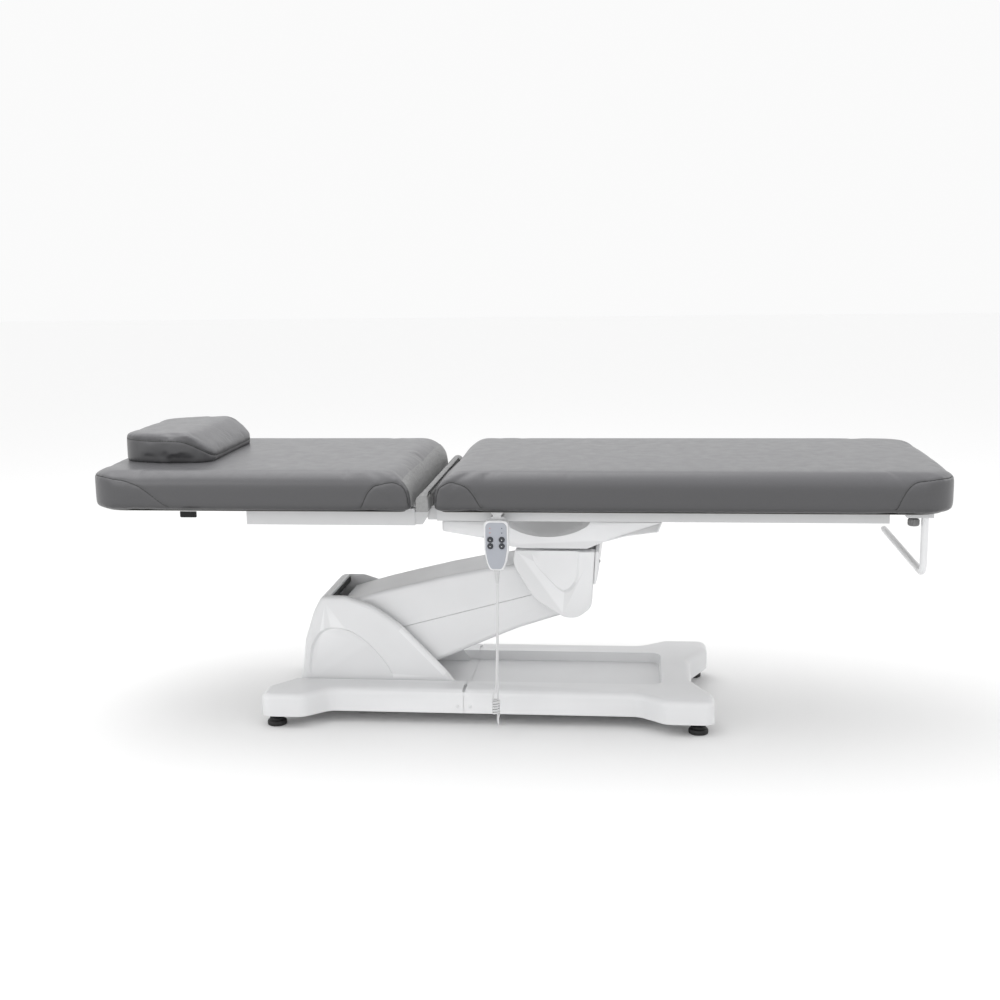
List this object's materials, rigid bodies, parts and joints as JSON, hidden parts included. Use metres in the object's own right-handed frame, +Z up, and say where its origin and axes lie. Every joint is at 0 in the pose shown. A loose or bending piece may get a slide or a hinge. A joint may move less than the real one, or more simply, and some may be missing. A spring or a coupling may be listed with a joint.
{
  "type": "facial treatment bed",
  "caption": "Electric facial treatment bed with a tilting backrest and a flat seat on a single lifting arm, H-shaped base, corded handset, neck pillow and paper-roll bar.",
  "frame": {"origin": "on the floor, under the middle of the upholstery", "axes": "+X from the head end to the foot end, +Y to the side away from the handset, +Z up"},
  "size_m": [1.924, 0.62, 0.6818],
  "materials": {
    "white_shell": "satin",
    "dark_steel": "satin",
    "black_rubber": "matte",
    "motor_plastic": "matte",
    "polished_rod": "polished",
    "grey_frame": "satin",
    "plywood": "matte",
    "grey_vinyl": "satin",
    "strip_vinyl": "matte",
    "black_label": "matte",
    "handset_white": "satin",
    "handset_panel": "satin",
    "handset_button": "satin",
    "cable_grey": "satin",
    "white_bar": "gloss",
    "grey_knob": "matte"
  },
  "bodies": {
    "base": {"rear_base_cover": "white_shell", "front_base_cover": "white_shell", "chassis_cross_rear": "dark_steel", "chassis_cross_front": "dark_steel", "chassis_spine": "dark_steel", "power_inlet": "black_rubber", "pedestal_cover": "white_shell", "slot_gasket": "black_rubber", "pivot_bracket": "dark_steel"},
    "foot_rear_near": {"levelling_foot_rear_near": "black_rubber"},
    "foot_rear_far": {"levelling_foot_rear_far": "black_rubber"},
    "foot_front_near": {"levelling_foot_front_near": "black_rubber"},
    "foot_front_far": {"levelling_foot_front_far": "black_rubber"},
    "arm": {"arm_frame": "dark_steel", "arm_upper_cover": "white_shell", "arm_lower_cover": "white_shell"},
    "leveller": {"levelling_bar": "dark_steel"},
    "lift_housing": {"lift_motor": "motor_plastic"},
    "lift_piston": {"lift_rod": "polished_rod"},
    "carriage": {"knuckle_shell_near": "white_shell", "knuckle_shell_far": "white_shell", "knuckle_end_cover": "white_shell", "carriage_bracket_near": "dark_steel", "carriage_bracket_far": "dark_steel", "saddle_shroud": "white_shell", "control_box": "motor_plastic", "seat_rail_near": "grey_frame", "seat_rail_far": "grey_frame", "seat_cross_neck": "grey_frame", "seat_cross_front": "grey_frame", "seat_cross_middle": "grey_frame", "seat_cross_foot": "grey_frame", "seat_board": "plywood", "seat_cushion": "grey_vinyl", "gap_strip": "strip_vinyl", "handset_hanger": "handset_white", "cord_gland": "black_rubber", "cord_drop": "cable_grey", "cord_curl": "cable_grey", "cord_return": "cable_grey", "roll_socket": "grey_frame"},
    "handset": {"handset_shell": "handset_white", "handset_face": "handset_panel", "strain_relief": "cable_grey"},
    "button_1": {"handset_button_1": "handset_button"},
    "button_2": {"handset_button_2": "handset_button"},
    "button_3": {"handset_button_3": "handset_button"},
    "button_4": {"handset_button_4": "handset_button"},
    "paper_bar": {"roll_bar": "white_bar"},
    "knob": {"clamp_knob": "grey_knob"},
    "backrest": {"back_rail_near": "grey_frame", "back_rail_far": "grey_frame", "back_cross_lug": "grey_frame", "back_cross_head": "grey_frame", "back_board": "plywood", "back_cushion": "grey_vinyl", "label_tag": "black_label"},
    "pillow": {"neck_pillow": "grey_vinyl"},
    "tilt_housing": {"tilt_motor": "motor_plastic"},
    "tilt_piston": {"tilt_rod": "polished_rod"}
  },
  "joints": [
    {"name": "lift_raise", "type": "hinge", "parent": "base", "child": "arm", "pos_m": [-0.388, 0, 0.246], "axis": [0, -1, 0], "range_deg": [0, 40]},
    {"name": "seat_level", "type": "hinge", "parent": "arm", "child": "carriage", "pos_m": [0.105, 0, 0.297], "axis": [0, -1, 0], "range_deg": [-40.1, 0]},
    {"name": "leveller_turn", "type": "hinge", "parent": "base", "child": "leveller", "pos_m": [-0.388, 0, 0.208], "axis": [0, -1, 0], "range_deg": [0, 40.1]},
    {"name": "lift_motor_turn", "type": "hinge", "parent": "base", "child": "lift_housing", "pos_m": [-0.48, 0, 0.12], "axis": [0, -1, 0], "range_deg": [0, 25.1]},
    {"name": "lift_rod_extend", "type": "slide", "parent": "lift_housing", "child": "lift_piston", "axis": [0.9648, 0, 0.2631], "range_m": [0, 0.048]},
    {"name": "backrest_tilt", "type": "hinge", "parent": "carriage", "child": "backrest", "pos_m": [-0.19, 0, 0.548], "axis": [0, 1, 0], "range_deg": [0, 70]},
    {"name": "tilt_motor_turn", "type": "hinge", "parent": "carriage", "child": "tilt_housing", "pos_m": [0.11, 0, 0.452], "axis": [0, 1, 0], "range_deg": [0, 4.7]},
    {"name": "tilt_rod_extend", "type": "slide", "parent": "tilt_housing", "child": "tilt_piston", "axis": [-0.995, 0, 0.0995], "range_m": [0, 0.069]},
    {"name": "pillow_lift", "type": "slide", "parent": "backrest", "child": "pillow", "axis": [0, 0, 1], "range_m": [0, 0.06]},
    {"name": "handset_unhook", "type": "slide", "parent": "carriage", "child": "handset", "axis": [0, -1, 0], "range_m": [0, 0.03]},
    {"name": "button_1_press", "type": "slide", "parent": "handset", "child": "button_1", "axis": [0, 1, 0], "range_m": [0, 0.0015], "stiffness_N_per_m": 400, "springref_m": -0.001},
    {"name": "button_2_press", "type": "slide", "parent": "handset", "child": "button_2", "axis": [0, 1, 0], "range_m": [0, 0.0015], "stiffness_N_per_m": 400, "springref_m": -0.001},
    {"name": "button_3_press", "type": "slide", "parent": "handset", "child": "button_3", "axis": [0, 1, 0], "range_m": [0, 0.0015], "stiffness_N_per_m": 400, "springref_m": -0.001},
    {"name": "button_4_press", "type": "slide", "parent": "handset", "child": "button_4", "axis": [0, 1, 0], "range_m": [0, 0.0015], "stiffness_N_per_m": 400, "springref_m": -0.001},
    {"name": "roll_bar_height", "type": "slide", "parent": "carriage", "child": "paper_bar", "axis": [0, 0, 1], "range_m": [-0.03, 0]},
    {"name": "clamp_knob_turn", "type": "hinge", "parent": "carriage", "child": "knob", "pos_m": [0.87, -0.25, 0.5], "axis": [0, 0, 1], "range_deg": [0, 360]},
    {"name": "foot_rear_near_height", "type": "slide", "parent": "base", "child": "foot_rear_near", "axis": [0, 0, 1], "range_m": [-0.012, 0]},
    {"name": "foot_rear_far_height", "type": "slide", "parent": "base", "child": "foot_rear_far", "axis": [0, 0, 1], "range_m": [-0.012, 0]},
    {"name": "foot_front_near_height", "type": "slide", "parent": "base", "child": "foot_front_near", "axis": [0, 0, 1], "range_m": [-0.012, 0]},
    {"name": "foot_front_far_height", "type": "slide", "parent": "base", "child": "foot_front_far", "axis": [0, 0, 1], "range_m": [-0.012, 0]}
  ],
  "couplings": [
    {"joint": "seat_level", "follows": "lift_raise", "ratio": -1},
    {"joint": "leveller_turn", "follows": "lift_raise", "ratio": 1},
    {"joint": "lift_motor_turn", "follows": "lift_raise", "ratio": 0.6237},
    {"joint": "lift_rod_extend", "follows": "lift_raise", "m_per_rad": 0.067925},
    {"joint": "tilt_motor_turn", "follows": "backrest_tilt", "ratio": 0.0657},
    {"joint": "tilt_rod_extend", "follows": "backrest_tilt", "m_per_rad": 0.055577}
  ]
}
